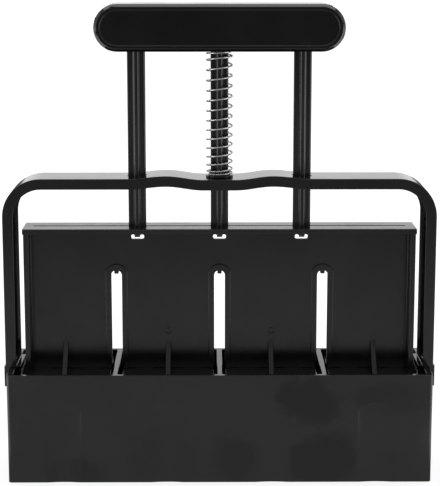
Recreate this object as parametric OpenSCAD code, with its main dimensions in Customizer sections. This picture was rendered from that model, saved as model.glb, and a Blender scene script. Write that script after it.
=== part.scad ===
// Hand soil blocker: a four-cell mould box, a finger frame clipped over its ends, and a
// spring-returned plunger that packs and ejects four square blocks of potting soil.
// Millimetres. Z is up, the box stands on Z = 0, its front faces -Y, and the origin is the
// middle of its footprint. The plunger is drawn at rest, held up by its spring.

/* [Soil cells] */
// Side of one soil block: the inside width and depth of a cell, and its depth under the plate
block = 50; // [44:1:56]
// Thickness of the dividers between the cells
divider_t = 2.8; // [2:0.1:3.4]
// Thickness of the end walls that the frame's feet grip
end_wall_t = 3.1; // [2.6:0.1:4.2]
// Thickness of the front and back walls
side_wall_t = 2.6; // [2:0.1:3.6]
// Radius of the box's upright corners
box_corner_r = 1.5; // [0.5:0.1:2.4]
// Radius along the box's bottom edges
box_foot_r = 0.5; // [0.4:0.1:1.8]
// Radius in the upright corners of a cell
cell_corner_r = 1; // [0.4:0.1:1.5]

/* [Flutes in the box] */
// Width of the shallow upright flute at each cell
flute_w = 18; // [10:0.5:24]
// Depth of a flute at its middle
flute_depth = 1.15; // [0.5:0.05:1.4]
// Height of a flute's arched top
flute_top = 41.5; // [28:0.5:44]
// Height of the arched part at a flute's top
flute_arch_h = 5.5; // [4:0.5:9]

/* [Finger frame] */
// Depth of the frame's band, front to back
frame_d = 24; // [20:0.5:32]
// Thickness of the frame's legs
leg_t = 5.5; // [4.5:0.1:7]
// Thickness of the bar across the top
bar_t = 5.4; // [4:0.1:7]
// How far a leg stands out past the end of the box
leg_overhang = 2.1; // [1:0.1:2.6]
// Radius of the frame's outer corners
frame_corner_r = 19.5; // [12:0.5:24]
// Height of the finger space between the plunger's top and the bar
finger_gap = 20.4; // [16:0.2:30]
// Height of the two finger waves in the bar
wave_h = 1.4; // [0.8:0.05:3]
// Depth of the bar's low middle, where the spring sits
bar_dip = 0.5; // [0:0.05:1]
// Distance of a wave's crest from the middle
wave_x = 27; // [24:0.5:30]
// Width of a wave
wave_w = 38; // [30:1:44]

/* [Frame feet] */
// Thickness of a foot's outer cheek
cheek_t = 2.8; // [2:0.1:4]
// How far the outer cheek reaches down the box's end
cheek_drop = 9.9; // [8.4:0.1:14]
// Thickness of the foot over the box's rim
foot_cap_t = 0.9; // [0.6:0.1:2]
// How far the inner lip reaches into the end cell
lip_reach = 2.5; // [1.8:0.1:3]
// How far the inner lip reaches down below the rim
lip_drop = 2.9; // [2:0.1:4]
// Radius of the snap boss that locks a foot into the end wall
snap_r = 2.6; // [2:0.1:3]

/* [Plunger] */
// Height of the plunger frame above the push plates
plunger_h = 74.7; // [66:0.1:84]
// Overall depth of the plunger frame's flanges
flange_d = 21.7; // [16:0.1:25]
// Thickness of the top flange
flange_t = 2.6; // [2:0.1:3.4]
// Overhang of the top flange past the side flanges
flange_lip = 0.5; // [0.2:0.1:1]
// Thickness of the side flanges
side_flange_t = 2.7; // [2:0.1:3.4]
// Space between the side flanges and the frame's legs
leg_clear = 4.7; // [4:0.1:6]
// Thickness of the web
web_t = 2; // [1.6:0.1:2.8]
// Radius along the top flange's long edges
flange_edge_r = 0.9; // [0.4:0.1:1.2]
// Width of the groove along the top flange
groove_w = 0.8; // [0.4:0.1:1.2]
// Depth of that groove
groove_depth = 0.4; // [0.2:0.1:0.8]
// Distance of the groove's ends from the flange's ends
groove_inset = 5; // [3:0.5:12]
// Height at which the side flanges begin to flare out, above the plates
flare_h = 9; // [6:0.5:14]

/* [Plunger slots] */
// Width of the slots that pass the dividers
slot_w = 5.5; // [5:0.1:7]
// Depth of a slot's arched top below the plunger's top
slot_top_drop = 22.8; // [20:0.1:30]
// Width of the bead around a slot
bead_w = 3.1; // [2:0.1:4]
// Thickness of the bead, front to back
bead_d = 4.6; // [3.6:0.1:6]
// Width of the stop tab that hangs in a slot's arch
tab_w = 2.2; // [1.4:0.1:3]
// Length of the stop tab
tab_len = 1.8; // [1:0.1:2.6]
// Thickness of the gussets at the foot of the web
gusset_t = 2.5; // [1.8:0.1:3.5]
// Height of the gussets above the plates
gusset_h = 15; // [10:0.5:22]
// Reach of a gusset from the middle of the web
gusset_reach = 14.5; // [10:0.5:20]
// Radius of the small round moulding nubs above the inner gussets
nub_r = 1.5; // [0.8:0.1:2]

/* [Push plates] */
// Thickness of a push plate
plate_t = 3; // [2.4:0.1:4]
// Gap between a push plate and its cell's walls
plate_gap = 1.6; // [1:0.1:2.2]
// Width of the tenons under the web
tenon_w = 9; // [6:0.5:12]
// Distance of a tenon from the middle of its plate
tenon_x = 12; // [10:0.5:15]
// Radius of a seed pin under the plate
pin_r = 4.5; // [3:0.1:6]
// Radius at a seed pin's tip
pin_tip_r = 2.5; // [1.5:0.1:3]
// Length of a seed pin under the plate
pin_len = 8; // [5:0.5:14]
// Radius of a seed pin's shank, pushed into its plate
shank_r = 2.2; // [1.6:0.1:2.8]

/* [Rods] */
// Distance of the outer rods from the middle
rod_x = 41.8; // [36:0.2:42]
// Width across the cross-shaped section of a rod
rod_w = 9; // [7.4:0.1:9.4]
// Thickness of a rod's fins
fin_t = 2.8; // [2.2:0.1:3.4]
// Width of the window in the web at a rod's end
window_w = 6.6; // [6:0.1:8]
// Height of that window
window_h = 2.3; // [1.8:0.1:3]
// Radius of the window's corners
window_r = 0.8; // [0.4:0.1:0.8]
// Height of the web left between the top flange and the window
window_drop = 1.8; // [1.4:0.1:3]
// How far the barbs at a rod's end reach under the flange
barb = 0.8; // [0.4:0.1:1.2]
// How far a rod's end reaches down behind its window
tongue_drop = 0.75; // [0.6:0.05:1.4]

/* [Spring] */
// Diameter of its wire
wire_d = 0.9; // [0.7:0.05:1.1]
// Number of turns
turns = 14; // [10:1:16]
// Pitch of the closed turn at each end
end_pitch = 1.4; // [1.35:0.05:1.8]
// Distance from the bar's low middle to the grip, with the plunger at rest
spring_room = 63.75; // [56:0.05:80]
// Thickness of the seat's flange under the spring
seat_t = 1.2; // [0.8:0.1:2]
// Height of the seat's spigot inside the spring
spigot_h = 1.4; // [0.8:0.1:2]
// Wall of that spigot, between the rod and the spring
spigot_wall = 0.4; // [0.4:0.05:1]

/* [Grip] */
// Length of the grip
grip_w = 124.5; // [110:0.5:140]
// Height of the grip, which is also the diameter of its round ends
grip_h = 23.5; // [20:0.1:28]
// Depth of the grip, front to back
grip_d = 24.5; // [22:0.1:30]
// Thickness of the shells
shell_t = 2.2; // [1.6:0.1:2.6]
// Radius along the grip's edges
grip_edge_r = 1.8; // [0.8:0.1:2.4]
// Width of the raised border around the recessed panel
panel_border = 2.9; // [2.6:0.1:4]
// Depth of the recessed panel
panel_depth = 0.7; // [0.3:0.1:1]
// Radius of the grip screws' shanks
screw_r = 1.45; // [1.2:0.05:1.7]
// Radius of the grip screws' heads
screw_head_r = 2.9; // [2.6:0.1:3.2]
// Height of the grip screws' heads
screw_head_h = 2; // [1.4:0.1:2.2]

/* [Clearances] */
// Gap that moving pieces keep where they stop or pass each other
run_gap = 0.3; // [0.2:0.05:0.4]
// Gap around a rod in the bar's guide holes
guide_gap = 0.35; // [0.2:0.05:0.5]
// Gap between a rod's corners and the spring seat
seat_gap = 0.15; // [0.1:0.05:0.3]
// Gap between pieces that are fixed to each other
fit_gap = 0.1; // [0.05:0.01:0.15]
// Radial gap of screws and pins in their holes
pin_gap = 0.05; // [0.02:0.01:0.1]

/* [Hidden] */
$fn = 96;
eps = 0.01;
cut = 1;    // how far a cutter runs past the face it opens
PLASTIC = [0.12, 0.12, 0.125];
STEEL = [0.75, 0.75, 0.77];

// Box
cells = 4;
pitch = block + divider_t;
box_w = cells * block + (cells - 1) * divider_t + 2 * end_wall_t;
box_d = block + 2 * side_wall_t;
end_wall_in = box_w / 2 - end_wall_t;
plate_under_z = block;
plate_top_z = plate_under_z + plate_t;
lip_under_z = plate_top_z + run_gap;
box_h = lip_under_z + lip_drop;
flute_r = (pow(flute_w / 2, 2) + pow(flute_depth, 2)) / (2 * flute_depth);

// Plunger
plunger_top_z = plate_top_z + plunger_h;
flange_under_z = plunger_top_z - flange_t;
side_flange_x = box_w / 2 + leg_overhang - leg_t - leg_clear;
flare_x = end_wall_in - lip_reach - run_gap - fit_gap;
flare_r = (pow(flare_h, 2) + pow(flare_x - side_flange_x, 2)) / (2 * (flare_x - side_flange_x));
slot_arch_z = plunger_top_z - slot_top_drop - slot_w / 2;
slot_tab_z = slot_arch_z + slot_w / 2 - tab_len;
window_top_z = flange_under_z - window_drop;
nub_z = plate_top_z + gusset_h + 5;
nub_h = 0.5;

// Finger frame
bar_under_z = plunger_top_z + finger_gap;
bar_top_z = bar_under_z + bar_t;
leg_out_x = box_w / 2 + leg_overhang;
leg_in_x = leg_out_x - leg_t;
snap_z = box_h - cheek_drop / 2;

// Rods, spring and grip
spring_foot_z = bar_top_z - bar_dip;
grip_z = spring_foot_z + spring_room;
grip_r = grip_h / 2;
grip_mid_z = grip_z + grip_r;
cavity_r = grip_r - shell_t;
panel_y = grip_d / 2 - panel_depth;
cavity_y = panel_y - shell_t;
eye_r = rod_w / 2;
boss_y = eye_r + fit_gap;
screw_seat_y = cavity_y - 0.2;
seat_top_z = spring_foot_z + seat_t;
seat_hole_r = norm([rod_w / 2, fin_t / 2]) + seat_gap;
spigot_r = seat_hole_r + spigot_wall;
coil_rings = 8;     // rings in one turn of the wire
wire_sides = 6;
coil_r = (spigot_r + fit_gap + wire_d / 2) / cos(180 / coil_rings);

function cell_x(i) = (i - (cells - 1) / 2) * pitch;

// ---- shared outlines ----

module rounded_rect(w, d, r) {
    square([w - 2 * r, d], center = true);
    square([w, d - 2 * r], center = true);
    for (sx = [-1, 1], sy = [-1, 1])
        translate([sx * (w / 2 - r), sy * (d / 2 - r)]) circle(r);
}

// A plan drawn in X and height, spread evenly about Y = 0
module upright(depth) {
    rotate([90, 0, 0]) linear_extrude(depth, center = true) children();
}

module cross_2d(w, t) {
    square([w, t], center = true);
    square([t, w], center = true);
}

// ---- mould box ----

module foot_rounded_2d(w) {
    translate([-w / 2, box_foot_r]) square([w, box_h]);
    translate([-w / 2 + box_foot_r, 0]) square([w - 2 * box_foot_r, 2 * box_foot_r]);
    for (s = [-1, 1]) translate([s * (w / 2 - box_foot_r), box_foot_r]) circle(box_foot_r);
}

module box_blank() {
    intersection() {
        linear_extrude(box_h) rounded_rect(box_w, box_d, box_corner_r);
        upright(box_d + cut) foot_rounded_2d(box_w);
        rotate([0, 0, 90]) upright(box_w + cut) foot_rounded_2d(box_d);
    }
}

// A shallow upright scoop in the front wall that runs out in an arch at its top
module flute(x) {
    arch_z = flute_top - flute_arch_h;
    translate([x, -box_d / 2 - flute_r + flute_depth, 0]) {
        translate([0, 0, -cut]) cylinder(h = arch_z + cut, r = flute_r);
        translate([0, 0, arch_z]) scale([1, 1, 2 * flute_arch_h / flute_w]) sphere(flute_r);
    }
}

module mould_box() {
    color(PLASTIC) difference() {
        box_blank();
        for (i = [0:cells - 1]) {
            translate([cell_x(i), 0, -cut])
                linear_extrude(box_h + 2 * cut) rounded_rect(block, block, cell_corner_r);
            flute(cell_x(i));
            mirror([0, 1, 0]) flute(cell_x(i));
        }
        for (s = [-1, 1])
            translate([s * (box_w / 2 + cut), 0, snap_z])
                rotate([0, -s * 90, 0]) cylinder(h = end_wall_t + 2 * cut, r = snap_r + fit_gap);
    }
}

// ---- finger frame ----

// Rise of the bar at a distance from its middle: the low seat, a crest, then the flat end
function wave_rise(x) =
    let (a = x - wave_x, foot = a < 0 ? -bar_dip : 0)
    foot + (wave_h - foot) * (1 + cos(180 * min(1, 2 * abs(a) / wave_w))) / 2;

// Everything under a waved arch of the given half width, corner radius and height
module arch_2d(half_w, corner_r, top) {
    span = half_w - corner_r;
    steps = 160;
    polygon(concat([[span, 0], [-span, 0]],
        [for (i = [0:steps]) let (x = span * (2 * i / steps - 1)) [x, top + wave_rise(abs(x))]]));
    translate([-half_w, 0]) square([2 * half_w, top - corner_r]);
    for (s = [-1, 1])
        translate([s * span, top - corner_r]) circle(corner_r, $fn = 180);
}

module band_2d() {
    difference() {
        arch_2d(leg_out_x, frame_corner_r, bar_top_z);
        arch_2d(leg_in_x, frame_corner_r - leg_t, bar_under_z);
        translate([-leg_out_x - cut, -cut]) square([2 * (leg_out_x + cut), box_h + cut]);
    }
}

// The right-hand foot: a saddle with an outer cheek, a cap on the rim and an inner lip
module foot_2d() {
    lip_x = end_wall_in - lip_reach;
    cheek_x = box_w / 2 + fit_gap;
    translate([cheek_x, box_h - cheek_drop])
        square([cheek_t - fit_gap, cheek_drop + foot_cap_t]);
    translate([lip_x, box_h]) square([box_w / 2 + cheek_t - lip_x, foot_cap_t]);
    translate([lip_x, lip_under_z]) square([lip_reach - fit_gap, lip_drop + foot_cap_t]);
}

module snap_boss() {
    reach = end_wall_t + fit_gap;
    translate([box_w / 2 + fit_gap + eps, 0, snap_z]) rotate([0, -90, 0]) {
        cylinder(h = reach - 0.6 + eps, r = snap_r);
        translate([0, 0, reach - 0.6]) cylinder(h = 0.6, r1 = snap_r, r2 = snap_r - 0.6);
    }
}

module finger_frame() {
    color(PLASTIC) difference() {
        union() {
            upright(frame_d) band_2d();
            for (s = [0, 1]) mirror([s, 0, 0]) {
                upright(frame_d) foot_2d();
                snap_boss();
            }
        }
        for (x = [-rod_x, 0, rod_x])
            translate([x, 0, bar_under_z - cut]) linear_extrude(bar_t + wave_h + 2 * cut)
                cross_2d(rod_w + 2 * guide_gap, fin_t + 2 * guide_gap);
    }
}

// ---- plunger ----

module slot_2d(r) {
    translate([-r, plate_top_z - cut]) square([2 * r, slot_arch_z - plate_top_z + cut]);
    translate([0, slot_arch_z]) circle(r);
}

module slot_void_2d() {
    difference() {
        slot_2d(slot_w / 2);
        translate([-tab_w / 2, slot_tab_z]) square([tab_w, slot_w]);
    }
}

module slot_bead() {
    upright(bead_d) intersection() {
        slot_2d(slot_w / 2 + bead_w);
        translate([-slot_w, plate_top_z]) square([2 * slot_w, plunger_h]);
    }
}

module top_flange() {
    half_d = flange_d / 2;
    r = flange_edge_r;
    rotate([90, 0, 90]) linear_extrude(2 * (side_flange_x + flange_lip), center = true) {
        translate([-half_d, flange_under_z]) square([flange_d, flange_t - r]);
        translate([-half_d + r, flange_under_z]) square([flange_d - 2 * r, flange_t]);
        for (s = [-1, 1]) translate([s * (half_d - r), plunger_top_z - r]) circle(r);
    }
}

// The right-hand side flange, which flares out to the plate's edge at its foot
module side_flange() {
    in_x = side_flange_x - side_flange_t;
    upright(flange_d) difference() {
        translate([in_x, plate_top_z])
            square([flare_x - in_x, flange_under_z - plate_top_z + eps]);
        translate([side_flange_x + flare_r, plate_top_z + flare_h]) circle(flare_r);
        translate([side_flange_x, plate_top_z + flare_h]) square([flare_r, plunger_h]);
    }
}

// An upright stiffener across the web, spreading the push over its plate
module gusset(x) {
    translate([x, 0, 0]) rotate([90, 0, 90]) linear_extrude(gusset_t, center = true)
        polygon([[-gusset_reach, plate_top_z], [0, plate_top_z + gusset_h + web_t / 2],
                 [gusset_reach, plate_top_z]]);
}

module nub(x) {
    translate([x, -web_t / 2 + eps, nub_z]) rotate([90, 0, 0])
        cylinder(h = nub_h + eps, r = nub_r);
}

// The web, with the tenons that lock the push plates under it
module web() {
    upright(web_t) {
        translate([-side_flange_x + eps, plate_top_z])
            square([2 * (side_flange_x - eps), flange_under_z - plate_top_z + eps]);
        for (i = [0:cells - 1], s = [-1, 1])
            translate([cell_x(i) + s * tenon_x - tenon_w / 2, plate_under_z])
                square([tenon_w, plate_t + eps]);
    }
}

// Where a rod enters: a cross in the top flange, a slit for one fin, and the window below
module rod_socket(x) {
    lug_w = fin_t + 0.6;
    lug_h = 0.5;
    translate([x, 0, 0]) {
        translate([0, 0, flange_under_z])
            linear_extrude(flange_t + cut) cross_2d(rod_w + 2 * fit_gap, fin_t + 2 * fit_gap);
        translate([-fin_t / 2 - fit_gap, -web_t, window_top_z - window_h / 2])
            cube([fin_t + 2 * fit_gap, 2 * web_t, window_h / 2 + window_drop + eps]);
        upright(2 * web_t) difference() {
            translate([0, window_top_z - window_h / 2])
                rounded_rect(window_w, window_h, window_r);
            translate([-lug_w / 2, window_top_z - lug_h]) square([lug_w, lug_h + eps]);
        }
    }
}

module plunger_frame() {
    groove_len = 2 * (side_flange_x + flange_lip - groove_inset);
    color(PLASTIC) difference() {
        union() {
            web();
            top_flange();
            for (s = [0, 1]) mirror([s, 0, 0]) side_flange();
            for (i = [-1:1]) translate([i * pitch, 0, 0]) slot_bead();
            for (i = [0:cells - 1]) gusset(cell_x(i));
            for (i = [1:2]) nub(cell_x(i));
        }
        for (i = [-1:1]) translate([i * pitch, 0, 0]) upright(bead_d + cut) slot_void_2d();
        for (x = [-rod_x, 0, rod_x]) rod_socket(x);
        translate([-groove_len / 2, -groove_w / 2, plunger_top_z - groove_depth])
            cube([groove_len, groove_w, groove_depth + cut]);
    }
}

module push_plate(i) {
    plate_w = block - 2 * plate_gap;
    color(PLASTIC) translate([cell_x(i), 0, plate_under_z]) difference() {
        linear_extrude(plate_t) rounded_rect(plate_w, plate_w, cell_corner_r);
        translate([0, 0, -cut]) cylinder(h = plate_t + 2 * cut, r = shank_r + pin_gap);
        for (s = [-1, 1]) translate([s * tenon_x, 0, plate_t / 2])
            cube([tenon_w + 2 * fit_gap, web_t + 2 * fit_gap, plate_t + 2 * cut], center = true);
    }
}

// A blunt dibble that prints the seed hole in the top of a block
module seed_pin(i) {
    tip_h = pin_r - pin_tip_r;
    color(PLASTIC) translate([cell_x(i), 0, plate_under_z]) {
        cylinder(h = plate_t, r = shank_r);
        translate([0, 0, -pin_len + tip_h]) cylinder(h = pin_len - tip_h, r = pin_r);
        translate([0, 0, -pin_len]) cylinder(h = tip_h, r1 = pin_tip_r, r2 = pin_r);
    }
}

// ---- rods ----

module barb_2d() {
    top_z = flange_under_z - fit_gap;
    tip_z = window_top_z - tongue_drop;
    polygon([[rod_w / 2 - eps, top_z], [rod_w / 2 + barb, top_z],
             [rod_w / 2 + barb, top_z - barb], [rod_w / 2 - eps, tip_z]]);
}

// A cross-shaped rod: its foot snaps through the plunger's top, its eye takes a grip screw
module rod(x) {
    tongue_z = window_top_z - tongue_drop;
    color(PLASTIC) translate([x, 0, 0]) difference() {
        union() {
            translate([0, 0, flange_under_z])
                linear_extrude(grip_mid_z - flange_under_z) cross_2d(rod_w, fin_t);
            translate([-fin_t / 2, -rod_w / 2, tongue_z])
                cube([fin_t, rod_w, flange_under_z - tongue_z + eps]);
            for (s = [0, 1]) mirror([0, s, 0])
                rotate([90, 0, 90]) linear_extrude(fin_t, center = true) barb_2d();
            translate([0, 0, grip_mid_z]) rotate([90, 0, 0])
                cylinder(h = rod_w, r = eye_r, center = true);
        }
        translate([0, 0, grip_mid_z]) rotate([90, 0, 0])
            cylinder(h = rod_w + 2 * cut, r = screw_r + 3 * pin_gap, center = true);
    }
}

// ---- spring ----

module spring_seat() {
    color(PLASTIC) translate([0, 0, spring_foot_z]) difference() {
        union() {
            cylinder(h = seat_t, r = coil_r + wire_d / 2 + 2 * fit_gap);
            cylinder(h = seat_t + spigot_h, r = spigot_r);
        }
        translate([0, 0, -cut]) cylinder(h = seat_t + spigot_h + 2 * cut, r = seat_hole_r);
    }
}

coil_low_z = seat_top_z + wire_d;
coil_high_z = grip_z - fit_gap - wire_d;
mid_pitch = (coil_high_z - coil_low_z - 2 * end_pitch) / (turns - 2);
last_ring = turns * coil_rings;

function unit(v) = v / norm(v);
function coil_angle(i) = 360 * i / coil_rings;
function coil_rise(u) = end_pitch * u + (mid_pitch - end_pitch) * max(0, min(u - 1, turns - 2));
function coil_out(i) = [cos(coil_angle(i)), sin(coil_angle(i)), 0];
function coil_at(i) = coil_r * coil_out(i) + [0, 0, coil_low_z + coil_rise(i / coil_rings)];
function coil_along(i) = unit([-sin(coil_angle(i)), cos(coil_angle(i)),
                               mid_pitch / (2 * PI * coil_r)]);
function coil_bend(i) = (i == 0 || i == last_ring) ? unit(coil_along(i) + [0, 0, 1])
                                                   : coil_along(i);
// One ring of wire surface round a centre, square to the direction in which the wire runs
function wire_ring(centre, out, along) =
    let (side = cross(along, out))
    [for (j = [0:wire_sides - 1])
        centre + wire_d / 2 * (cos(360 * j / wire_sides) * out + sin(360 * j / wire_sides) * side)];

// Least distance between the wire's surfaces on neighbouring turns
coil_gap = min([for (i = [0:last_ring - coil_rings], k = [-2:2])
    let (j = min(last_ring, i + coil_rings + k)) norm(coil_at(i) - coil_at(j))]) - wire_d;
echo(str("spring: least gap between turns ", coil_gap, " mm"));

module return_spring() {
    up = [0, 0, 1];
    rings = concat(
        [wire_ring(coil_at(0) - wire_d * up, coil_out(0), up)],
        [for (i = [0:last_ring]) wire_ring(coil_at(i), coil_out(i), coil_bend(i))],
        [wire_ring(coil_at(last_ring) + wire_d * up, coil_out(last_ring), up)]);
    n = wire_sides;
    last = len(rings) - 1;
    walls = [for (k = [0:last - 1], j = [0:n - 1])
        let (a = k * n + j, b = k * n + (j + 1) % n)
        each [[a, a + n, b + n], [a, b + n, b]]];
    caps = [for (j = [1:n - 2]) each [[0, j, j + 1], [last * n, last * n + j + 1, last * n + j]]];
    color(STEEL) polyhedron(points = [for (ring = rings) each ring], faces = concat(walls, caps));
}

// ---- grip ----

// Sweeps a half profile round the grip's outline. The profile's X is the distance from the
// grip's long axis and its Y is the distance forward from the middle of the grip.
module pill_sweep() {
    straight = grip_w - grip_h;
    translate([0, 0, grip_mid_z]) {
        for (s = [-1, 1])
            translate([s * straight / 2, 0, 0]) rotate([90, s * 90, 0])
                rotate_extrude(angle = 180) children();
        rotate([180, -90, 0]) linear_extrude(straight, center = true) {
            children();
            mirror([1, 0]) children();
        }
    }
}

module shell_outline_2d() {
    r = grip_edge_r;
    half_d = grip_d / 2;
    translate([0, pin_gap]) square([grip_r, half_d - r - pin_gap]);
    translate([0, pin_gap]) square([grip_r - r, half_d - pin_gap]);
    translate([grip_r - r, half_d - r]) circle(r);
}

module panel_2d() {
    edge = grip_r - panel_border;
    polygon([[0, panel_y], [edge - panel_depth, panel_y], [edge, grip_d / 2],
             [edge, grip_d / 2 + cut], [0, grip_d / 2 + cut]]);
}

// Boss for a grip screw, from the shell's inner face to the rod's eye
module screw_boss(x, r) {
    translate([x, -boss_y, grip_mid_z]) rotate([90, 0, 0])
        cylinder(h = cavity_y - boss_y + eps, r = r);
}

// The front half of the hollow grip, before its screw holes
module half_shell(boss_r) {
    difference() {
        pill_sweep() shell_outline_2d();
        difference() {
            pill_sweep() translate([0, -cut]) square([cavity_r, cavity_y + cut]);
            for (x = [-rod_x, 0, rod_x]) screw_boss(x, boss_r);
        }
        pill_sweep() panel_2d();
    }
}

module rod_mouths() {
    for (x = [-rod_x, 0, rod_x]) translate([x, 0, grip_z - cut])
        linear_extrude(shell_t + 2 * cut) cross_2d(rod_w + 3 * fit_gap, fin_t + 3 * fit_gap);
}

tongue_t = 0.9;     // the lip that lines up the two shells
tongue_h = 1.2;

module grip_front_shell() {
    color(PLASTIC) difference() {
        union() {
            half_shell(screw_r + 2.2);
            pill_sweep() translate([cavity_r, -tongue_h])
                square([tongue_t, tongue_h + 2 * pin_gap]);
        }
        for (x = [-rod_x, 0, rod_x]) translate([x, -boss_y + cut, grip_mid_z])
            rotate([90, 0, 0]) cylinder(h = cavity_y - boss_y + cut - 0.6, r = screw_r + pin_gap);
        rod_mouths();
    }
}

module grip_back_shell() {
    color(PLASTIC) mirror([0, 1, 0]) difference() {
        half_shell(screw_head_r + 1.4);
        pill_sweep() translate([cavity_r - eps, -cut])
            square([tongue_t + fit_gap, tongue_h + fit_gap + cut]);
        for (x = [-rod_x, 0, rod_x]) translate([x, 0, grip_mid_z]) rotate([90, 0, 0]) {
            cylinder(h = grip_d, r = screw_r + 3 * pin_gap);
            translate([0, 0, screw_seat_y]) cylinder(h = grip_d, r = screw_head_r + 3 * pin_gap);
        }
        rod_mouths();
    }
}

// A pan-head screw with a cross recess, driven from the back
module grip_screw(x) {
    slot = [0.8, 3.2, 1];
    color(STEEL) translate([x, 0, grip_mid_z]) rotate([-90, 0, 0]) difference() {
        union() {
            translate([0, 0, -cavity_y + 1.2])
                cylinder(h = cavity_y - 1.2 + screw_seat_y + eps, r = screw_r);
            translate([0, 0, screw_seat_y]) cylinder(h = screw_head_h, r = screw_head_r);
        }
        for (a = [0, 90]) rotate([0, 0, a])
            translate([-slot.x / 2, -slot.y / 2, screw_seat_y + screw_head_h - slot.z])
                cube([slot.x, slot.y, slot.z + cut]);
    }
}

mould_box();
finger_frame();
plunger_frame();
push_plate(0);  // push_plate_1
push_plate(1);  // push_plate_2
push_plate(2);  // push_plate_3
push_plate(3);  // push_plate_4
seed_pin(0);  // seed_pin_1
seed_pin(1);  // seed_pin_2
seed_pin(2);  // seed_pin_3
seed_pin(3);  // seed_pin_4
rod(-rod_x);  // rod_left
rod(0);  // rod_centre
rod(rod_x);  // rod_right
spring_seat();
return_spring();
grip_front_shell();
grip_back_shell();
grip_screw(-rod_x);  // grip_screw_left
grip_screw(0);  // grip_screw_centre
grip_screw(rod_x);  // grip_screw_right
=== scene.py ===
"""Dresses the packed soil blocker: rounded mouldings, black plastic, bright steel and a pale studio."""
from math import asin, atan, pi, radians

import bmesh
import bpy
from mathutils import Matrix, Vector


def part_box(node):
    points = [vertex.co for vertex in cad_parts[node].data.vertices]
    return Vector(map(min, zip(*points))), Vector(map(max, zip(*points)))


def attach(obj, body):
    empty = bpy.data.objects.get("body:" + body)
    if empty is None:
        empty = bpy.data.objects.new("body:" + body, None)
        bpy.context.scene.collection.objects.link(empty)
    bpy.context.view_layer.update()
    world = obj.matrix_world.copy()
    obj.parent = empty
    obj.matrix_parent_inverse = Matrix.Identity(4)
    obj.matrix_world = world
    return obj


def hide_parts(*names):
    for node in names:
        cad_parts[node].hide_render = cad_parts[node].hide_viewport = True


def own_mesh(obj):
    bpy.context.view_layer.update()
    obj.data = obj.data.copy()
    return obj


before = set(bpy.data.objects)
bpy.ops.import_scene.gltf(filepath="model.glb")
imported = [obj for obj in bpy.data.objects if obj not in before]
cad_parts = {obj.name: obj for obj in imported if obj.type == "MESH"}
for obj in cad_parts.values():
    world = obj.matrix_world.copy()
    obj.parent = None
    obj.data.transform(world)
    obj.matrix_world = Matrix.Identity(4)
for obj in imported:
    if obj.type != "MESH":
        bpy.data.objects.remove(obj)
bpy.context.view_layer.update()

MM = 0.001
ALONG_X = Vector((1, 0, 0))
ALONG_Y = Vector((0, 1, 0))
ALONG_Z = Vector((0, 0, 1))


# ---- camera ----

def set_up_camera():
    """Stands at arm's length in front of the blocker and looks slightly down on it."""
    lens_data = bpy.data.cameras.new("camera")
    lens_data.sensor_width = 36
    lens_data.lens = 117.69
    lens_data.clip_start = 0.05
    lens_data.clip_end = 50
    camera = bpy.data.objects.new("camera", lens_data)
    camera.location = (-5.65 * MM, -798.8 * MM, 270.2 * MM)
    camera.rotation_euler = (radians(90 - 10.74), 0, radians(-0.424))
    bpy.context.scene.collection.objects.link(camera)
    bpy.context.scene.camera = camera


set_up_camera()


# ---- material tools ----

def new_material(name):
    """An empty node material, its surface shader and its object coordinates."""
    material = bpy.data.materials.new(name)
    material.use_nodes = True
    tree = material.node_tree
    tree.nodes.clear()
    surface = tree.nodes.new("ShaderNodeBsdfPrincipled")
    output = tree.nodes.new("ShaderNodeOutputMaterial")
    tree.links.new(surface.outputs["BSDF"], output.inputs["Surface"])
    coordinates = tree.nodes.new("ShaderNodeTexCoord").outputs["Object"]
    return material, tree, surface, coordinates


def feed(tree, socket, value):
    """Links a node's output to a socket, or sets a plain value on it."""
    if isinstance(value, bpy.types.NodeSocket):
        tree.links.new(value, socket)
    else:
        socket.default_value = value


def scaled(tree, coordinates, stretch, shift=(0, 0, 0), turn=(0, 0, 0)):
    """The coordinates stretched, shifted and turned by a Mapping node."""
    mapping = tree.nodes.new("ShaderNodeMapping")
    tree.links.new(coordinates, mapping.inputs["Vector"])
    mapping.inputs["Scale"].default_value = stretch
    mapping.inputs["Location"].default_value = shift
    mapping.inputs["Rotation"].default_value = turn
    return mapping.outputs["Vector"]


def mottle(tree, coordinates, size, detail=3.0, roughness=0.5, warp=0.0):
    """Noise whose blotches are about the given size in metres."""
    noise = tree.nodes.new("ShaderNodeTexNoise")
    tree.links.new(coordinates, noise.inputs["Vector"])
    noise.inputs["Scale"].default_value = 1 / size
    noise.inputs["Detail"].default_value = detail
    noise.inputs["Roughness"].default_value = roughness
    noise.inputs["Distortion"].default_value = warp
    return noise.outputs["Fac"]


def between(tree, value, start, end, low=0.0, high=1.0):
    """Maps a value from start..end smoothly to low..high."""
    spread = tree.nodes.new("ShaderNodeMapRange")
    spread.interpolation_type = "SMOOTHSTEP"
    feed(tree, spread.inputs["Value"], value)
    spread.inputs["From Min"].default_value = start
    spread.inputs["From Max"].default_value = end
    spread.inputs["To Min"].default_value = low
    spread.inputs["To Max"].default_value = high
    return spread.outputs["Result"]


def sums(tree, kind, first, second):
    """One Math node: ADD, MULTIPLY, MAXIMUM and the like."""
    node = tree.nodes.new("ShaderNodeMath")
    node.operation = kind
    feed(tree, node.inputs[0], first)
    feed(tree, node.inputs[1], second)
    return node.outputs[0]


def dimmed(tree, level, where, share):
    """A level made lower by a share where a mask is 1."""
    kept = sums(tree, "SUBTRACT", 1.0, sums(tree, "MULTIPLY", where, share))
    return sums(tree, "MULTIPLY", level, kept)


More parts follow.
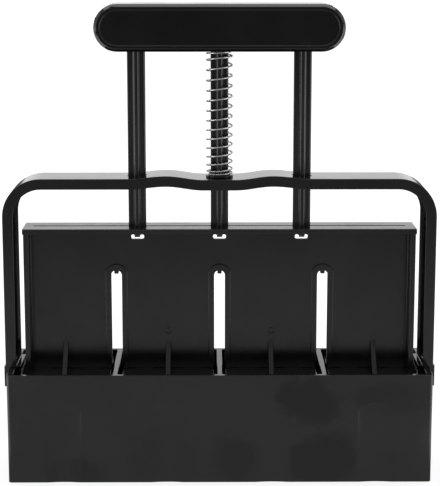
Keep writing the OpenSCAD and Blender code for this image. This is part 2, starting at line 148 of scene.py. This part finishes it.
def tinted(tree, amount, plain, other):
    """A colour between another, which may be a node's output, and a plain one."""
    mix = tree.nodes.new("ShaderNodeMix")
    mix.data_type = "RGBA"
    feed(tree, mix.inputs["Factor"], amount)
    feed(tree, mix.inputs[6], plain if isinstance(plain, bpy.types.NodeSocket) else (*plain, 1))
    mix.inputs[7].default_value = (*other, 1)
    return mix.outputs[2]


def relief(tree, surface, height, depth):
    """Raises the surface by a height of 0 to 1 times depth in metres."""
    bump = tree.nodes.new("ShaderNodeBump")
    bump.inputs["Strength"].default_value = 1
    bump.inputs["Distance"].default_value = depth
    tree.links.new(height, bump.inputs["Height"])
    tree.links.new(bump.outputs["Normal"], surface.inputs["Normal"])


# Dull patches that wet soil left on the box's front: middle x and z, half width, half height, strength.
SOIL_PATCHES = (
    (8, 12, 11, 14, 0.8), (45, 42, 16, 11, 1.0), (53, 11, 18, 14, 1.0), (88, 44, 19, 8, 0.7),
    (-74, 5, 14, 7, 0.8), (-28, 13, 18, 14, 0.4), (-103, 28, 6, 13, 0.4))


def soil_patches(tree, coordinates):
    """How dull the soil left each spot of the box's front, from 0 to 1."""
    ragged = sums(tree, "MULTIPLY", mottle(tree, coordinates, 0.012, 2, 0.5, 0.5), 1.4)
    dull = None
    for x, z, half_width, half_height, strength in SOIL_PATCHES:
        shares = scaled(
            tree, coordinates, (1 / (half_width * MM), 0, 1 / (half_height * MM)),
            (-x / half_width, 0, -z / half_height))
        away = tree.nodes.new("ShaderNodeVectorMath")
        away.operation = "LENGTH"
        tree.links.new(shares, away.inputs[0])
        patch = between(
            tree, sums(tree, "ADD", away.outputs["Value"], ragged), 2.1, 1.35, 0.0, strength)
        dull = patch if dull is None else sums(tree, "MAXIMUM", dull, patch)
    apart = tree.nodes.new("ShaderNodeSeparateXYZ")
    tree.links.new(coordinates, apart.inputs[0])
    return sums(tree, "MULTIPLY", dull, between(tree, apart.outputs[1], -26 * MM, -27 * MM))


DUST = (0.12, 0.115, 0.11)
WORN = (0.06, 0.058, 0.055)
DRIED_SOIL = (0.0012, 0.0012, 0.0011)


def black_plastic(name, shade, gloss, cloud_size, shift, soiled=False, brushed=0.0):
    """Black moulded plastic: flow clouds, handling smudges, dust, fine scratches and mould grain.

    A soiled one has dull patches of dried soil; brushed is the share of long upright wear lines.
    """
    material, tree, surface, coordinates = new_material(name)
    place = scaled(tree, coordinates, (1, 1, 1), shift)
    clouds = between(tree, mottle(tree, place, cloud_size, 2.5, 0.55, 0.4), 0.36, 0.62)
    smudges = between(tree, mottle(tree, place, 0.011, 5, 0.6, 0.8), 0.46, 0.66)
    grain = mottle(tree, place, 0.0007, 2.0, 0.5)
    upright = scaled(tree, coordinates, (1, 1, 0.045), shift)
    scratches = between(tree, mottle(tree, upright, 0.0006, 2, 0.4), 0.68, 0.8)
    dust = between(tree, mottle(tree, place, 0.0011, 3, 0.6), 0.7, 0.78)
    dusty = sums(tree, "MULTIPLY", dust, clouds)

    rough = sums(tree, "ADD", sums(tree, "MULTIPLY", clouds, 0.02), gloss)
    rough = sums(tree, "ADD", rough, sums(tree, "MULTIPLY", smudges, 0.05))
    rough = sums(tree, "ADD", rough, sums(tree, "MULTIPLY", scratches, 0.05))
    rough = sums(tree, "ADD", rough, sums(tree, "MULTIPLY", grain, 0.02))
    patches = soil_patches(tree, coordinates) if soiled else 0.0
    rough = sums(tree, "ADD", rough, sums(tree, "MULTIPLY", patches, 0.3))
    feed(tree, surface.inputs["Roughness"], rough)

    deep = [channel * 0.75 for channel in shade]
    pale = [channel * 1.35 + 0.0006 for channel in shade]
    colour = tinted(tree, clouds, deep, pale)
    colour = tinted(tree, sums(tree, "MULTIPLY", dusty, 0.12), colour, DUST)
    long_lines = scaled(tree, coordinates, (1, 1, 0.02), shift)
    rubbed = between(tree, mottle(tree, long_lines, 0.0011, 1.5, 0.5), 0.42, 0.62)
    colour = tinted(tree, sums(tree, "MULTIPLY", rubbed, brushed), colour, WORN)
    colour = tinted(tree, patches, colour, DRIED_SOIL)
    feed(tree, surface.inputs["Base Color"], colour)

    waves = mottle(tree, place, 0.006, 1.5, 0.4)
    height = sums(tree, "ADD", waves, sums(tree, "MULTIPLY", grain, 0.12))
    height = sums(tree, "SUBTRACT", height, sums(tree, "MULTIPLY", scratches, 0.04))
    relief(tree, surface, height, 0.00002)
    surface.inputs["IOR"].default_value = 1.54
    return material


def bright_wire(name):
    """Bright drawn spring wire: fine die lines, faint heat colour and small dull spots."""
    material, tree, surface, coordinates = new_material(name)
    drawn = scaled(tree, coordinates, (1, 1, 4))
    lines = mottle(tree, drawn, 0.0004, 3, 0.6)
    dull = between(tree, mottle(tree, coordinates, 0.004, 3, 0.6), 0.5, 0.7)
    rough = sums(tree, "ADD", sums(tree, "MULTIPLY", lines, 0.12), 0.12)
    rough = sums(tree, "ADD", rough, sums(tree, "MULTIPLY", dull, 0.1))
    feed(tree, surface.inputs["Roughness"], rough)
    feed(tree, surface.inputs["Base Color"], tinted(tree, dull, (0.64, 0.64, 0.65), (0.5, 0.49, 0.48)))
    surface.inputs["Metallic"].default_value = 1
    surface.inputs["Specular Tint"].default_value = (0.4, 0.4, 0.41, 1)
    relief(tree, surface, lines, 0.00001)
    return material


def zinc_plate(name):
    """Zinc plating on a pressed screw: pale blue-grey, brushed by the tumbler, duller in patches."""
    material, tree, surface, coordinates = new_material(name)
    spangle = mottle(tree, coordinates, 0.0008, 3, 0.6)
    dull = between(tree, mottle(tree, coordinates, 0.0022, 4, 0.6), 0.45, 0.65)
    rough = sums(tree, "ADD", sums(tree, "MULTIPLY", spangle, 0.18), 0.22)
    feed(tree, surface.inputs["Roughness"], rough)
    feed(tree, surface.inputs["Base Color"], tinted(tree, dull, (0.6, 0.61, 0.63), (0.46, 0.46, 0.45)))
    surface.inputs["Metallic"].default_value = 1
    relief(tree, surface, spangle, 0.00003)
    return material


box_black = black_plastic("box_black", (0.0065, 0.0065, 0.0068), 0.11, 0.034, (0.3, 0.1, 0.2), soiled=True)
frame_black = black_plastic("frame_black", (0.005, 0.005, 0.0051), 0.07, 0.03, (1.3, 0.7, 0.4))
plunger_black = black_plastic("plunger_black", (0.0095, 0.0094, 0.0095), 0.18, 0.04, (2.1, 0.2, 0.9))
rod_black = black_plastic("rod_black", (0.0055, 0.0055, 0.0056), 0.09, 0.02, (3.2, 0.5, 0.6), brushed=0.45)
grip_black = black_plastic("grip_black", (0.0045, 0.0045, 0.0046), 0.1, 0.028, (4.4, 0.9, 0.3))
wire_steel = bright_wire("wire_steel")
screw_zinc = zinc_plate("screw_zinc")


# ---- modelling tools ----

def piece_from(shape, name, material, body, slot, *nodes):
    """Makes a finished piece of a bmesh and puts it in the place of CAD nodes."""
    bmesh.ops.recalc_face_normals(shape, faces=shape.faces)
    for face in shape.faces:
        face.smooth = True
    mesh = bpy.data.meshes.new(name)
    shape.to_mesh(mesh)
    shape.free()
    mesh.materials.clear()
    mesh.materials.append(material)
    piece = bpy.data.objects.new(name, mesh)
    bpy.context.scene.collection.objects.link(piece)
    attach(piece, body)
    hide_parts(*nodes)
    return piece


def cutter_from(shape):
    """A bmesh as a passing object that another piece is cut with."""
    bmesh.ops.recalc_face_normals(shape, faces=shape.faces)
    mesh = bpy.data.meshes.new("cutter")
    shape.to_mesh(mesh)
    shape.free()
    cutter = bpy.data.objects.new("cutter", mesh)
    bpy.context.scene.collection.objects.link(cutter)
    return cutter


def cut_away(piece, shape):
    """Takes a bmesh's solid out of a piece for good."""
    cutter = cutter_from(shape)
    knife = piece.modifiers.new("cut", "BOOLEAN")
    knife.object = cutter
    knife.operation = "DIFFERENCE"
    knife.solver = "EXACT"
    bpy.context.view_layer.update()
    seen = piece.evaluated_get(bpy.context.evaluated_depsgraph_get())
    cut_mesh = bpy.data.meshes.new_from_object(seen)
    piece.modifiers.clear()
    old_mesh = piece.data
    cut_mesh.name = old_mesh.name + "_cut"
    piece.data = cut_mesh
    bpy.data.objects.remove(cutter)
    bpy.data.meshes.remove(old_mesh)


def direction(edge):
    """The way an edge runs, as a unit vector."""
    return (edge.verts[1].co - edge.verts[0].co).normalized()


def runs_along(edge, axis):
    """Whether an edge is parallel to an axis."""
    return abs(direction(edge).dot(axis)) > 0.999


def round_off(shape, edges, radius, steps):
    """Rounds edges of a bmesh with a number of flat steps."""
    bmesh.ops.bevel(
        shape, geom=edges, offset=radius, offset_type="OFFSET", segments=steps,
        profile=0.5, affect="EDGES", clamp_overlap=False, material=-1)


def add_block(shape, low, high, upright_radius=0, steps=6):
    """A block between two corners, its upright edges rounded."""
    made = bmesh.ops.create_cube(shape, size=1)["verts"]
    bmesh.ops.scale(shape, vec=high - low, verts=made)
    bmesh.ops.translate(shape, vec=(low + high) / 2, verts=made)
    if upright_radius:
        edges = {edge for vert in made for edge in vert.link_edges if runs_along(edge, ALONG_Z)}
        round_off(shape, list(edges), upright_radius, steps)


def soften_edges(piece, radius, steps=3, by="ANGLE", least_angle=24):
    """Live bevels on the hard edges, with normals that keep the flat faces flat."""
    bevel = piece.modifiers.new("rounded edges", "BEVEL")
    bevel.width = radius
    bevel.segments = steps
    bevel.limit_method = by
    bevel.angle_limit = radians(least_angle)
    bevel.use_clamp_overlap = False
    bevel.miter_outer = "MITER_ARC"
    bevel.harden_normals = False
    flats = piece.modifiers.new("flat faces", "WEIGHTED_NORMAL")
    flats.keep_sharp = True
    flats.weight = 60


def weigh_edges(shape, share, least_angle=24):
    """Gives each hard edge of a bmesh the share of the rounding that a rule names."""
    weights = shape.edges.layers.float.new("bevel_weight_edge")
    for edge in shape.edges:
        if len(edge.link_faces) == 2 and edge.calc_face_angle(0) > radians(least_angle):
            edge[weights] = share(edge, (edge.verts[0].co + edge.verts[1].co) / 2)
            edge.smooth = edge[weights] > 0


def merged_copy(node, *parted_at):
    """A CAD node's mesh as a bmesh with whole flat faces, parted by upright planes at given x.

    The planes run through the holes, so that no flat face keeps a hole inside it.
    """
    shape = bmesh.new()
    shape.from_mesh(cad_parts[node].data)
    bmesh.ops.remove_doubles(shape, verts=shape.verts, dist=0.002 * MM)
    for x in parted_at:
        parts = list(shape.verts) + list(shape.edges) + list(shape.faces)
        cut = bmesh.ops.bisect_plane(
            shape, geom=parts, dist=0.001 * MM, plane_co=(x, 0, 0), plane_no=ALONG_X)
        for part in cut["geom_cut"]:
            if isinstance(part, bmesh.types.BMEdge):
                part.seam = True
    bmesh.ops.dissolve_limit(
        shape, angle_limit=radians(0.6), use_dissolve_boundaries=False,
        verts=shape.verts, edges=shape.edges, delimit={"SEAM"})
    return shape


def dressed(node, name, material, body, slot, radius, steps=3, parted_at=()):
    """A CAD node's own form with rounded edges and a new finish."""
    piece = piece_from(merged_copy(node, *parted_at), name, material, body, slot, node)
    soften_edges(piece, radius, steps)
    return piece


# ---- mould box ----

BLOCK = 50 * MM
DIVIDER = 2.8 * MM
CELL_PITCH = BLOCK + DIVIDER
BOX_CORNER = 1.5 * MM
BOX_FOOT = 0.5 * MM
CELL_CORNER = 1 * MM
SNAP_RADIUS = 2.7 * MM
SNAP_DROP = 4.95 * MM
FLUTE_DEPTH = 1.15 * MM
FLUTE_HALF_WIDTH = 9 * MM
FLUTE_TOP = 41.5 * MM
FLUTE_ARCH = 5.5 * MM
FLUTE_LIP = 0.2 * MM
LIP_START = 2.5 * MM
FLUTE_SAG = FLUTE_DEPTH - FLUTE_LIP
FLUTE_RADIUS = (FLUTE_HALF_WIDTH ** 2 + FLUTE_SAG ** 2) / (2 * FLUTE_SAG)
cell_places = [(number - 1.5) * CELL_PITCH for number in range(4)]
box_low, box_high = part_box("mould_box")


def add_flute(shape, x, side):
    """The barrel-faced cutter of one upright flute; side is -1 in front and 1 behind."""
    wall = side * box_high.y
    deepest = wall - side * FLUTE_DEPTH
    axis_y = deepest + side * FLUTE_RADIUS
    arch_z = FLUTE_TOP - FLUTE_ARCH
    foot = shape.verts.new((x, deepest, -2 * MM))
    knee = bmesh.ops.extrude_vert_indiv(shape, verts=[foot])
    top = knee["verts"][0]
    top.co.z = arch_z
    over = bmesh.ops.spin(
        shape, geom=[top], cent=(x, axis_y, arch_z), axis=ALONG_X,
        angle=side * radians(-18), steps=12, use_duplicate=False)
    line = [foot, top]
    while line[-1] != over["geom_last"][0]:
        line.append(next(
            edge.other_vert(line[-1]) for edge in line[-1].link_edges
            if edge.other_vert(line[-1]) not in line))
    flatten = Matrix.Diagonal((1, 1, FLUTE_ARCH / FLUTE_HALF_WIDTH))
    bmesh.ops.transform(
        shape, matrix=flatten.to_4x4(), space=Matrix.Translation((0, 0, -arch_z)), verts=line[2:])
    half_turn = asin(FLUTE_HALF_WIDTH / FLUTE_RADIUS)
    bmesh.ops.rotate(
        shape, cent=(x, axis_y, 0), matrix=Matrix.Rotation(-half_turn, 3, "Z"), verts=line)
    ends = [edge for vert in line for edge in vert.link_edges]
    bmesh.ops.spin(
        shape, geom=line + list(set(ends)), cent=(x, axis_y, 0), axis=ALONG_Z,
        angle=2 * half_turn, steps=32, use_duplicate=False)
    faces = [face for face in shape.faces if abs(face.calc_center_median().x - x) < 12 * MM]
    back = bmesh.ops.extrude_face_region(shape, geom=faces, use_keep_orig=True)["geom"]
    moved = [part for part in back if isinstance(part, bmesh.types.BMVert)]
    bmesh.ops.translate(shape, vec=(0, side * 5 * MM, 0), verts=moved)


def box_edge_share(edge, middle):
    """Full rounding on the rim, half inside the foot and round the snap holes, a little on flutes."""
    if middle.z > box_high.z - 0.05 * MM:
        return 1.0
    inside_foot = middle.z < 0.05 * MM and abs(middle.y) < BLOCK / 2 + 0.05 * MM
    if inside_foot or abs(middle.x) > box_high.x - 0.05 * MM and abs(middle.y) < 4 * MM:
        return 0.5
    on_wall = min(abs(vert.co.y) for vert in edge.verts) > box_high.y - 0.01 * MM
    lowest = min(vert.co.z for vert in edge.verts)
    if on_wall and LIP_START - 0.01 * MM < lowest and middle.z < FLUTE_TOP + 0.1 * MM:
        return 0.45
    return 0.0


def make_mould_box():
    """The box: four cells between dividers, flutes front and back, snap holes in its ends."""
    blank = bmesh.new()
    add_block(blank, box_low, box_high, BOX_CORNER, 10)
    foot_edges = [
        edge for edge in blank.edges
        if max(vert.co.z for vert in edge.verts) < box_low.z + 0.01 * MM]
    round_off(blank, foot_edges, BOX_FOOT, 5)
    box = piece_from(blank, "box_moulding", box_black, "mould", "box_plastic", "mould_box")

    cells = bmesh.new()
    for x in cell_places:
        low = Vector((x - BLOCK / 2, -BLOCK / 2, -2 * MM))
        high = Vector((x + BLOCK / 2, BLOCK / 2, box_high.z + 2 * MM))
        add_block(cells, low, high, CELL_CORNER, 8)
    cut_away(box, cells)

    for side in (-1, 1):
        flutes = bmesh.new()
        for x in cell_places:
            add_flute(flutes, x, side)
        cut_away(box, flutes)

    snap_holes = bmesh.new()
    for side in (-1, 1):
        place = Matrix.Translation((side * box_high.x, 0, box_high.z - SNAP_DROP))
        bmesh.ops.create_cone(
            snap_holes, cap_ends=True, segments=64, radius1=SNAP_RADIUS, radius2=SNAP_RADIUS,
            depth=12 * MM, matrix=place @ Matrix.Rotation(pi / 2, 4, "Y"))
    cut_away(box, snap_holes)

    shape = bmesh.new()
    shape.from_mesh(box.data)
    parts = list(shape.verts) + list(shape.edges) + list(shape.faces)
    bmesh.ops.bisect_plane(
        shape, geom=parts, dist=0.001 * MM, plane_co=(0, 0, LIP_START), plane_no=ALONG_Z)
    weigh_edges(shape, box_edge_share)
    shape.to_mesh(box.data)
    shape.free()
    soften_edges(box, 0.4 * MM, 4, "WEIGHT")


make_mould_box()


# ---- finger frame ----

rod_places = [
    (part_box(f"rod_{place}")[0].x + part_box(f"rod_{place}")[1].x) / 2
    for place in ("left", "centre", "right")]
divider_places = [-CELL_PITCH, 0, CELL_PITCH]
frame_low, frame_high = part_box("finger_frame")


def band_edge_share(edge, middle):
    """Full rounding along the band's front and back edges, less on the feet and guide holes."""
    return 1.0 if abs(middle.y) > frame_high.y - 0.1 * MM and middle.z > box_high.z + 3 * MM else 0.5


LEG_RIM = 0.8 * MM
LEG_RECESS = 1.8 * MM
LEG_WALL_SLOPE = 0.15 * MM
FOOT_DROP = 0.75 * MM


def make_finger_frame():
    """The waved finger frame with its guide holes, saddle feet and channels inside its legs."""
    shape = merged_copy("finger_frame", *rod_places)
    for side in (-1, 1):
        inner = [
            face for face in shape.faces
            if face.normal.x * side < -0.999 and face.calc_area() > 400 * MM ** 2]
        bmesh.ops.inset_region(shape, faces=inner, thickness=LEG_RIM, depth=0, use_even_offset=True)
        lowest = min(vert.co.z for face in inner for vert in face.verts)
        for vert in {vert for face in inner for vert in face.verts}:
            if vert.co.z < lowest + 1 * MM:
                vert.co.z -= FOOT_DROP
        bmesh.ops.inset_region(
            shape, faces=inner, thickness=LEG_WALL_SLOPE, depth=-LEG_RECESS, use_even_offset=True)
    weigh_edges(shape, band_edge_share)
    piece = piece_from(shape, "finger_frame_band", frame_black, "mould", "frame_plastic", "finger_frame")
    soften_edges(piece, 0.4 * MM, 4, "WEIGHT")


make_finger_frame()


# ---- plunger ----

web_low, web_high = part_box("plunger_frame")


def web_edge_share(edge, middle):
    """Full rounding on the beads, gussets and flanges, less in the top groove and windows."""
    in_groove = middle.z > web_high.z - 1 * MM and abs(middle.y) < 1 * MM
    at_window = abs(middle.y) < 1.2 * MM and web_high.z - 7.5 * MM < middle.z < web_high.z - 3 * MM
    return 0.3 if in_groove or at_window else 1.0


GROOVE_SPREAD = 2.3


def make_plunger_web():
    """The flat web with its flanges, beaded slots, gussets, rod windows and widened top groove."""
    shape = merged_copy("plunger_frame", *rod_places, *divider_places)
    for vert in shape.verts:
        if vert.co.z > web_high.z - 1 * MM and abs(vert.co.y) < 0.45 * MM:
            vert.co.y *= GROOVE_SPREAD
    weigh_edges(shape, web_edge_share)
    piece = piece_from(shape, "plunger_web", plunger_black, "plunger", "plunger_plastic", "plunger_frame")
    soften_edges(piece, 0.3 * MM, 3, "WEIGHT")


make_plunger_web()
for number, x in enumerate(cell_places, 1):
    dressed(
        f"push_plate_{number}", f"plate_in_cell_{number}", plunger_black,
        "plunger", "plunger_plastic", 0.25 * MM, parted_at=[x])
    dressed(
        f"seed_pin_{number}", f"dibble_in_cell_{number}", plunger_black,
        "plunger", "plunger_plastic", 0.4 * MM, parted_at=[x])


# ---- rods ----

def rod_edge_share(edge, middle):
    """Full rounding down the long edges of the fins, a little less between them, a fifth elsewhere."""
    if edge.calc_length() < 20 * MM or not runs_along(edge, ALONG_Z):
        return 0.2
    return 1.0 if edge.is_convex else 0.45


TONGUE_TRIM = 0.3 * MM


def make_rod(place, x):
    """A cross-shaped rod with round-nosed fins and a short tongue behind its window."""
    shape = merged_copy(f"rod_{place}", x)
    tongue_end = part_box(f"rod_{place}")[0].z
    for vert in shape.verts:
        if vert.co.z < tongue_end + 0.02 * MM:
            vert.co.z += TONGUE_TRIM
    weigh_edges(shape, rod_edge_share)
    piece = piece_from(
        shape, f"rod_moulding_{place}", rod_black, "plunger", "rod_plastic", f"rod_{place}")
    soften_edges(piece, 1.1 * MM, 6, "WEIGHT")


for place, x in zip(("left", "centre", "right"), rod_places):
    make_rod(place, x)
    dressed(
        f"grip_screw_{place}", f"pan_screw_{place}", screw_zinc,
        "plunger", "screw_steel", 0.25 * MM, parted_at=[x])


# ---- spring ----

WIRE = 0.9 * MM
# Rise of each turn in millimetres, from the seat up to the grip.
TURN_RISES = (1.6, 3.7, 4.3, 4.5, 4.6, 4.7, 4.9, 5.1, 5.1, 5.2, 5.2, 5.4, 5.2, 2.65)
# The closed tips: how much of a turn each is, and the rise of a full one.
TIP_TURN = 1 / 6
TIP_RISE = 1.0


def make_return_spring():
    """Right-handed compression spring, its end turns closed and its pitch opening upward."""
    low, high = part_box("return_spring")
    coil_radius = (high.x - low.x) / 2 - WIRE / 2
    steps = 48
    first_height = low.z + WIRE / 2
    share = (high.z - low.z - WIRE) / (sum(TURN_RISES) + 2 * TIP_RISE * TIP_TURN)
    rises = [TIP_RISE, *TURN_RISES, TIP_RISE]

    shape = bmesh.new()
    lean = atan(4.6 * MM / (2 * pi * coil_radius))
    first_angle = -pi / 2 - 2 * pi * TIP_TURN
    turn_to_start = Matrix.Rotation(first_angle, 4, "Z")
    stand = Matrix.Rotation(pi / 2 + lean, 4, "X")
    bmesh.ops.create_circle(
        shape, cap_ends=True, segments=14, radius=WIRE / 2,
        matrix=turn_to_start @ Matrix.Translation((coil_radius, 0, first_height)) @ stand)
    tip = list(shape.faces) + list(shape.edges) + list(shape.verts)
    for number, rise in enumerate(rises):
        turns = TIP_TURN if number in (0, len(rises) - 1) else 1
        turned = bmesh.ops.spin(
            shape, geom=tip, cent=(0, 0, 0), axis=ALONG_Z, dvec=(0, 0, rise * share / steps),
            angle=2 * pi * turns, steps=round(steps * turns), use_duplicate=False)
        tip = turned["geom_last"]
    bmesh.ops.remove_doubles(shape, verts=shape.verts, dist=0.001 * MM)
    spring = piece_from(shape, "coil_spring", wire_steel, "mould", "spring_steel", "return_spring")
    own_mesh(spring)


make_return_spring()
dressed(
    "spring_seat", "spring_collar", frame_black, "mould", "frame_plastic", 0.2 * MM, parted_at=[0])


# ---- grip ----

PANEL_DEPTH = 0.7 * MM
PANEL_WALL_SHIFT = 0.4 * MM
grip_low, grip_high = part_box("grip_front_shell")
grip_radius = (grip_high.z - grip_low.z) / 2
grip_middle_z = (grip_high.z + grip_low.z) / 2
grip_end_x = grip_high.x - grip_radius


GRIP_CHAMFER = 1.5 * MM


def make_grip_shell(face, front_y):
    """Half of the pill-shaped grip, its edge chamfered and the wall round its bare panel steep."""
    shape = merged_copy(f"grip_{face}_shell", *rod_places)
    panel_y = abs(front_y) - PANEL_DEPTH
    for vert in shape.verts:
        middle = Vector((max(-grip_end_x, min(grip_end_x, vert.co.x)), vert.co.y, grip_middle_z))
        outward = vert.co - middle
        short = (GRIP_CHAMFER - (abs(front_y) - abs(vert.co.y)) - (grip_radius - outward.length)) / 2
        if short > 0.01 * MM:
            vert.co -= outward.normalized() * short
            vert.co.y -= short if front_y > 0 else -short
        on_rim = outward.length > grip_radius - 5 * MM
        if on_rim and abs(abs(vert.co.y) - panel_y) < 0.02 * MM and outward.length < grip_radius - 3 * MM:
            vert.co += outward.normalized() * PANEL_WALL_SHIFT
    piece = piece_from(
        shape, f"grip_shell_{face}", grip_black, "plunger", "grip_plastic", f"grip_{face}_shell")
    soften_edges(piece, 0.2 * MM)


make_grip_shell("front", grip_low.y)
make_grip_shell("back", -grip_low.y)


# ---- studio ----

def share_of_ray(tree, *kinds):
    """1 for camera, glossy or transmission rays, as named, and 0 for the rest."""
    rays = tree.nodes.new("ShaderNodeLightPath")
    share = rays.outputs[kinds[0]]
    for kind in kinds[1:]:
        share = sums(tree, "MAXIMUM", share, rays.outputs[kind])
    return share


def paint_floor():
    """White to the camera, with a faint soft shadow.

    To glossy rays it shows a painted reflection instead, a glow that fades outward, bright at the sides
    and dim straight behind.
    """
    material = bpy.data.materials.new("floor_white")
    material.use_nodes = True
    tree = material.node_tree
    tree.nodes.clear()
    board = tree.nodes.new("ShaderNodeBsdfDiffuse")
    board.inputs["Color"].default_value = (0.8, 0.8, 0.8, 1)
    pale = tree.nodes.new("ShaderNodeBsdfDiffuse")
    pale.inputs["Color"].default_value = (0.3, 0.3, 0.3, 1)
    glow = tree.nodes.new("ShaderNodeEmission")
    seen = tree.nodes.new("ShaderNodeAddShader")
    tree.links.new(pale.outputs[0], seen.inputs[0])
    tree.links.new(glow.outputs[0], seen.inputs[1])

    place = tree.nodes.new("ShaderNodeTexCoord").outputs["Object"]
    apart = tree.nodes.new("ShaderNodeSeparateXYZ")
    tree.links.new(place, apart.inputs[0])
    aside = sums(tree, "ABSOLUTE", apart.outputs[0], 0.0)
    length = tree.nodes.new("ShaderNodeVectorMath")
    length.operation = "LENGTH"
    tree.links.new(place, length.inputs[0])
    reach = length.outputs["Value"]
    # The glow the camera sees is painted light: 0.83 within 0.15 m of the blocker, so its shadow on the
    # pale part shows, rising to 1.0 beyond 0.6 m, where the softbox's light fades.
    tree.links.new(between(tree, reach, 0.15, 0.6, 0.83, 1.0), glow.inputs["Strength"])
    # Painted reflection: the glow level that glossy rays see, painted by place on the floor.
    nearby = between(tree, reach, 0.8, 0.35, 0.0, 0.255)
    nearby = sums(tree, "ADD", nearby, between(tree, reach, 3.5, 1.1, 0.14, 0.285))
    share_aside = sums(tree, "DIVIDE", aside, reach)
    beside = between(tree, share_aside, 0.55, 0.92)
    sideways = sums(tree, "MULTIPLY", beside, between(tree, reach, 0.1, 0.19))
    level = sums(tree, "MAXIMUM", nearby, sums(tree, "MULTIPLY", sideways, 1.9))
    share_behind = sums(tree, "DIVIDE", apart.outputs[1], reach)
    rearward = between(tree, share_behind, 0.25, 0.6)
    behind = sums(tree, "MULTIPLY", rearward, between(tree, reach, 0.1, 0.2))
    level = dimmed(tree, level, behind, 0.7)
    straight_back = between(tree, apart.outputs[1], 0.05, 0.12)
    strip = sums(tree, "MULTIPLY", between(tree, aside, 0.35, 0.2), straight_back)
    level = dimmed(tree, level, strip, 0.85)
    painted_reflection = tree.nodes.new("ShaderNodeEmission")
    tree.links.new(level, painted_reflection.inputs["Strength"])

    # Glossy rays see the painted reflection glow, other rays the lit board.
    gloss = tree.nodes.new("ShaderNodeMixShader")
    tree.links.new(share_of_ray(tree, "Is Glossy Ray"), gloss.inputs[0])
    tree.links.new(board.outputs[0], gloss.inputs[1])
    tree.links.new(painted_reflection.outputs[0], gloss.inputs[2])
    choice = tree.nodes.new("ShaderNodeMixShader")
    tree.links.new(share_of_ray(tree, "Is Camera Ray"), choice.inputs[0])
    tree.links.new(gloss.outputs[0], choice.inputs[1])
    tree.links.new(seen.outputs[0], choice.inputs[2])
    output = tree.nodes.new("ShaderNodeOutputMaterial")
    tree.links.new(choice.outputs[0], output.inputs["Surface"])
    return material


def lay_floor():
    """A wide flat floor just under the box."""
    shape = bmesh.new()
    bmesh.ops.create_grid(shape, x_segments=1, y_segments=1, size=8)
    mesh = bpy.data.meshes.new("floor")
    shape.to_mesh(mesh)
    shape.free()
    mesh.materials.append(paint_floor())
    floor = bpy.data.objects.new("floor", mesh)
    floor.location.z = -0.02 * MM
    bpy.context.scene.collection.objects.link(floor)


def light_world():
    """White to the camera; to glossy rays a painted reflection, paler behind and in front, dimmer
    overhead.
    """
    world = bpy.data.worlds.new("studio")
    world.use_nodes = True
    tree = world.node_tree
    tree.nodes.clear()
    fill = tree.nodes.new("ShaderNodeBackground")
    fill.inputs["Strength"].default_value = 0.35
    white = tree.nodes.new("ShaderNodeBackground")
    white.inputs["Color"].default_value = (1, 1, 1, 1)
    white.inputs["Strength"].default_value = 1
    way = tree.nodes.new("ShaderNodeSeparateXYZ")
    tree.links.new(tree.nodes.new("ShaderNodeTexCoord").outputs["Generated"], way.inputs[0])
    rise = way.outputs[2]
    # Painted reflection: strengths by direction for the background that only glossy rays see, as of walls
    # behind and in front and a dimmer sky.
    behind = between(tree, way.outputs[1], -0.8, -0.3)
    wall = sums(tree, "MULTIPLY", between(tree, rise, 0.8, 0.45), 0.62)
    painted_front_reflection = sums(
        tree, "MULTIPLY", between(tree, rise, 0.1, 0.25, -0.36, 0.1), between(tree, rise, 0.8, 0.45))
    wall = sums(tree, "ADD", wall, between(tree, rise, 0.24, 0.12, 0.0, 0.35))
    lift = tree.nodes.new("ShaderNodeMix")
    feed(tree, lift.inputs["Factor"], behind)
    feed(tree, lift.inputs[2], painted_front_reflection)
    feed(tree, lift.inputs[3], wall)
    graded = tree.nodes.new("ShaderNodeBackground")
    overhead = between(tree, rise, 0.86, 0.96, 0.48, 0.42)
    tree.links.new(sums(tree, "ADD", lift.outputs[0], overhead), graded.inputs["Strength"])
    # Glossy rays see the painted reflection background, other rays the even fill.
    painted_reflection = tree.nodes.new("ShaderNodeMixShader")
    tree.links.new(share_of_ray(tree, "Is Glossy Ray"), painted_reflection.inputs[0])
    tree.links.new(fill.outputs[0], painted_reflection.inputs[1])
    tree.links.new(graded.outputs[0], painted_reflection.inputs[2])
    choice = tree.nodes.new("ShaderNodeMixShader")
    tree.links.new(share_of_ray(tree, "Is Camera Ray", "Is Transmission Ray"), choice.inputs[0])
    tree.links.new(painted_reflection.outputs[0], choice.inputs[1])
    tree.links.new(white.outputs[0], choice.inputs[2])
    output = tree.nodes.new("ShaderNodeOutputWorld")
    tree.links.new(choice.outputs[0], output.inputs["Surface"])
    bpy.context.scene.world = world


def hang_softbox(name, place, width, height, watts, target=(0, 0, 0.1)):
    """A rectangular softbox that points at the blocker."""
    light = bpy.data.lights.new(name, "AREA")
    light.shape = "RECTANGLE"
    light.size = width
    light.size_y = height
    light.energy = watts
    lamp = bpy.data.objects.new(name, light)
    lamp.location = place
    aim = Vector(target) - Vector(place)
    lamp.rotation_euler = aim.to_track_quat("-Z", "Y").to_euler()
    bpy.context.scene.collection.objects.link(lamp)


lay_floor()
light_world()
hang_softbox("softbox_above", (0, 0.33, 1.25), 1.8, 1.1, 13.7, (0, 0.33, 0))

settings = bpy.context.scene.view_settings
settings.view_transform = "Standard"
